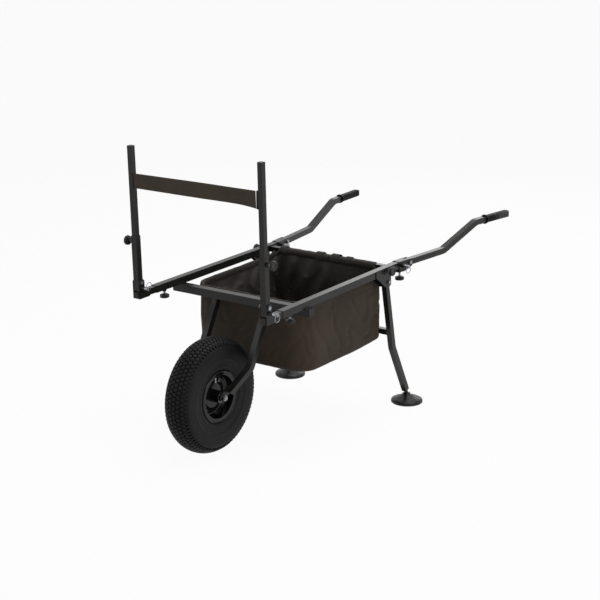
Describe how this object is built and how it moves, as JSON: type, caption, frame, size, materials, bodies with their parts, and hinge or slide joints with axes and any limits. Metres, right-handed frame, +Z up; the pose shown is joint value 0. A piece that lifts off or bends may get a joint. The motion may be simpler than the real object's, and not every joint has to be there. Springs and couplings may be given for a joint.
{
  "type": "game cart",
  "caption": "Single-wheel field barrow: square-tube frame, pneumatic wheel in a fork, folding uprights with a band, folding bent handles, folding rear legs with wide feet, open fabric bag under the rails",
  "frame": {"origin": "on the floor, under the middle of the overall length and width, with the wheel and both feet standing on Z = 0", "axes": "+X to the barrow's right side as its user stands behind it, +Y to the rear where the handles and the user are, +Z up; the rails rise 2 degrees towards the rear"},
  "size_m": [0.7344, 1.5902, 1.0256],
  "materials": {
    "frame_paint": "satin anthracite powder coat",
    "rim_paint": "gloss black paint",
    "zinc": "bright zinc plate",
    "black_plastic": "moulded matt black plastic",
    "grip_rubber": "matt black rubber",
    "tyre_rubber": "black tyre rubber",
    "bag_fabric": "dark brown coated canvas",
    "band_fabric": "dark brown woven band"
  },
  "bodies": {
    "frame": {"left_rail": "frame_paint", "right_rail": "frame_paint", "front_crossbar": "frame_paint", "rear_crossbar": "frame_paint", "tube_caps": "black_plastic", "left_fork_arm": "frame_paint", "right_fork_arm": "frame_paint", "axle": "zinc", "axle_nuts": "zinc", "pivot_bolts": "zinc", "under_bag": "bag_fabric", "left_leg_bracket": "frame_paint", "right_leg_bracket": "frame_paint", "left_handle_bracket": "frame_paint", "right_handle_bracket": "frame_paint"},
    "wheel": {"tyre": "tyre_rubber", "inner_tube": "tyre_rubber", "left_rim": "rim_paint", "right_rim": "rim_paint", "hub": "rim_paint", "hub_bearings": "zinc", "rim_bolts": "zinc", "valve_stem": "zinc"},
    "legs": {"left_leg": "frame_paint", "right_leg": "frame_paint", "leg_brace": "frame_paint", "foot_bolts": "zinc"},
    "right_slide": {"right_slide_bar": "frame_paint", "right_bar_cap": "black_plastic", "right_upright_bracket": "frame_paint", "right_upright_bolt": "zinc"},
    "right_upright_arm": {"right_upright": "frame_paint"},
    "right_post_slider": {"right_post": "frame_paint", "right_post_cap": "black_plastic", "front_band": "band_fabric"},
    "right_handle_arm": {"right_handle": "frame_paint", "right_grip": "grip_rubber"},
    "right_foot_pad": {"right_foot": "black_plastic"},
    "right_front_clamp_knob_body": {"right_front_clamp_knob": "black_plastic"},
    "right_upright_clamp_knob_body": {"right_upright_clamp_knob": "black_plastic"},
    "right_leg_clamp_knob_body": {"right_leg_clamp_knob": "black_plastic"},
    "right_handle_clamp_knob_body": {"right_handle_clamp_knob": "black_plastic"},
    "right_upright_lock_pin_body": {"right_upright_lock_pin": "zinc"},
    "right_handle_lock_pin_body": {"right_handle_lock_pin": "zinc"},
    "left_slide": {"left_slide_bar": "frame_paint", "left_bar_cap": "black_plastic", "left_upright_bracket": "frame_paint", "left_upright_bolt": "zinc"},
    "left_upright_arm": {"left_upright": "frame_paint"},
    "left_post_slider": {"left_post": "frame_paint", "left_post_cap": "black_plastic"},
    "left_handle_arm": {"left_handle": "frame_paint", "left_grip": "grip_rubber"},
    "left_foot_pad": {"left_foot": "black_plastic"},
    "left_front_clamp_knob_body": {"left_front_clamp_knob": "black_plastic"},
    "left_upright_clamp_knob_body": {"left_upright_clamp_knob": "black_plastic"},
    "left_leg_clamp_knob_body": {"left_leg_clamp_knob": "black_plastic"},
    "left_handle_clamp_knob_body": {"left_handle_clamp_knob": "black_plastic"},
    "left_upright_lock_pin_body": {"left_upright_lock_pin": "zinc"},
    "left_handle_lock_pin_body": {"left_handle_lock_pin": "zinc"}
  },
  "joints": [
    {"name": "wheel_spin", "type": "hinge", "parent": "frame", "child": "wheel", "pos_m": [0, -0.59513, 0.2], "axis": [1, 0, 0], "continuous": true},
    {"name": "right_front_slide", "type": "slide", "parent": "frame", "child": "right_slide", "axis": [0, -0.9994, -0.0349], "range_m": [-0.035, 0.12]},
    {"name": "right_upright_fold", "type": "hinge", "parent": "right_slide", "child": "right_upright_arm", "pos_m": [0.27, -0.64118, 0.55861], "axis": [-1, 0, 0], "range_deg": [0, 90]},
    {"name": "right_post_slide", "type": "slide", "parent": "right_upright_arm", "child": "right_post_slider", "axis": [0, -0.0349, 0.9994], "range_m": [-0.095, 0.03]},
    {"name": "right_handle_fold", "type": "hinge", "parent": "frame", "child": "right_handle_arm", "pos_m": [0.27752, 0.18886, 0.54407], "axis": [0.9921, -0.1253, -0.0044], "range_deg": [0, 95]},
    {"name": "left_front_slide", "type": "slide", "parent": "frame", "child": "left_slide", "axis": [0, -0.9994, -0.0349], "range_m": [-0.035, 0.12]},
    {"name": "left_upright_fold", "type": "hinge", "parent": "left_slide", "child": "left_upright_arm", "pos_m": [-0.27, -0.64118, 0.55861], "axis": [-1, 0, 0], "range_deg": [0, 90]},
    {"name": "left_post_slide", "type": "slide", "parent": "left_upright_arm", "child": "left_post_slider", "axis": [0, -0.0349, 0.9994], "range_m": [-0.095, 0.03]},
    {"name": "left_handle_fold", "type": "hinge", "parent": "frame", "child": "left_handle_arm", "pos_m": [-0.27752, 0.18886, 0.54407], "axis": [0.9921, 0.1253, 0.0044], "range_deg": [0, 95]},
    {"name": "legs_fold", "type": "hinge", "parent": "frame", "child": "legs", "pos_m": [0, 0.0549, 0.49687], "axis": [1, 0, 0], "range_deg": [0, 56]},
    {"name": "right_foot_swivel", "type": "hinge", "parent": "legs", "child": "right_foot_pad", "pos_m": [0.27, 0.21799, 0.031], "axis": [1, 0, 0], "range_deg": [-20, 20]},
    {"name": "left_foot_swivel", "type": "hinge", "parent": "legs", "child": "left_foot_pad", "pos_m": [-0.27, 0.21799, 0.031], "axis": [1, 0, 0], "range_deg": [-20, 20]},
    {"name": "right_front_clamp_turn", "type": "hinge", "parent": "frame", "child": "right_front_clamp_knob_body", "pos_m": [0.27, -0.51, 0.48414], "axis": [0, 0.0349, -0.9994], "range_deg": [0, 360]},
    {"name": "right_upright_clamp_turn", "type": "hinge", "parent": "right_upright_arm", "child": "right_upright_clamp_knob_body", "pos_m": [0.3, -0.6461, 0.69953], "axis": [1, 0, 0], "range_deg": [0, 360]},
    {"name": "right_leg_clamp_turn", "type": "hinge", "parent": "frame", "child": "right_leg_clamp_knob_body", "pos_m": [0.295, 0.05142, 0.53927], "axis": [1, 0, 0], "range_deg": [0, 360]},
    {"name": "right_handle_clamp_turn", "type": "hinge", "parent": "right_handle_arm", "child": "right_handle_clamp_knob_body", "pos_m": [0.27213, 0.14788, 0.49511], "axis": [0, 0.0349, -0.9994], "range_deg": [0, 360]},
    {"name": "right_upright_pin_pull", "type": "slide", "parent": "right_slide", "child": "right_upright_lock_pin_body", "axis": [1, 0, 0], "range_m": [0, 0.012]},
    {"name": "right_handle_pin_pull", "type": "slide", "parent": "frame", "child": "right_handle_lock_pin_body", "axis": [0.9921, -0.1253, -0.0044], "range_m": [0, 0.012]},
    {"name": "left_front_clamp_turn", "type": "hinge", "parent": "frame", "child": "left_front_clamp_knob_body", "pos_m": [-0.27, -0.51, 0.48414], "axis": [0, 0.0349, -0.9994], "range_deg": [0, 360]},
    {"name": "left_upright_clamp_turn", "type": "hinge", "parent": "left_upright_arm", "child": "left_upright_clamp_knob_body", "pos_m": [-0.3, -0.6461, 0.69953], "axis": [-1, 0, 0], "range_deg": [0, 360]},
    {"name": "left_leg_clamp_turn", "type": "hinge", "parent": "frame", "child": "left_leg_clamp_knob_body", "pos_m": [-0.295, 0.05142, 0.53927], "axis": [-1, 0, 0], "range_deg": [0, 360]},
    {"name": "left_handle_clamp_turn", "type": "hinge", "parent": "left_handle_arm", "child": "left_handle_clamp_knob_body", "pos_m": [-0.27213, 0.14788, 0.49511], "axis": [0, 0.0349, -0.9994], "range_deg": [0, 360]},
    {"name": "left_upright_pin_pull", "type": "slide", "parent": "left_slide", "child": "left_upright_lock_pin_body", "axis": [1, 0, 0], "range_m": [0, 0.012]},
    {"name": "left_handle_pin_pull", "type": "slide", "parent": "frame", "child": "left_handle_lock_pin_body", "axis": [0.9921, 0.1253, 0.0044], "range_m": [0, 0.012]}
  ],
  "couplings": [
    {"joint": "left_front_slide", "follows": "right_front_slide", "ratio": 1},
    {"joint": "left_upright_fold", "follows": "right_upright_fold", "ratio": 1},
    {"joint": "left_post_slide", "follows": "right_post_slide", "ratio": 1}
  ]
}
